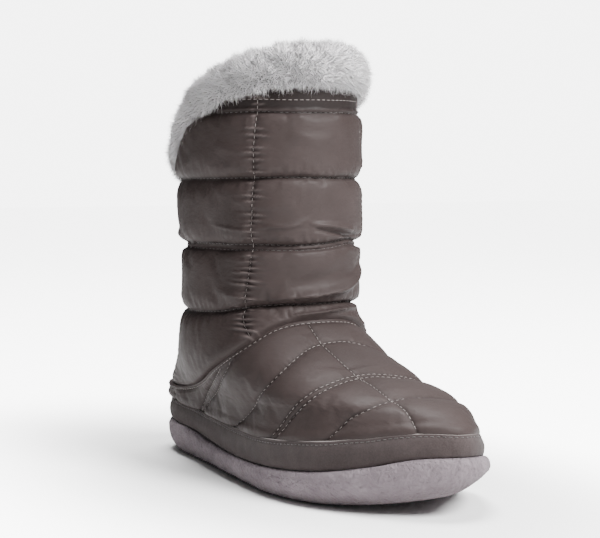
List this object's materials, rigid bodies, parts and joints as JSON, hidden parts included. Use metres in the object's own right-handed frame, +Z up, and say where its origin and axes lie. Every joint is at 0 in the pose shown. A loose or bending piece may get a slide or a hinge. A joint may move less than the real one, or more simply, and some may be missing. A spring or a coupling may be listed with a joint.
{
  "type": "slipper boot",
  "caption": "Quilted ankle-high slipper boot for the right foot, with a fur collar that is cut low at the back, a suede band and a soft moulded sole.",
  "frame": {"origin": "middle of the boot's box, on the floor it stands on", "axes": "+Z up, toe towards -Y, heel towards +Y, +X towards the inner (big toe) side"},
  "size_m": [0.1048, 0.265, 0.2363],
  "materials": {
    "sole_foam": "pebbled matte foam",
    "fleece": "short pile",
    "quilted_nylon": "satin nylon, quilted",
    "suede": "brushed suede",
    "fur": "dense deep pile",
    "braid": "flat braid",
    "cord_end": "smooth sleeve"
  },
  "bodies": {
    "root": {"outsole": "sole_foam", "insole": "fleece", "foot_piece": "quilted_nylon", "shaft": "quilted_nylon", "rand": "suede", "fur_collar": "fur", "drawcord_inner": "braid", "drawcord_outer": "braid", "drawcord_knot": "braid", "aglet_inner": "cord_end", "aglet_outer": "cord_end"}
  },
  "joints": []
}
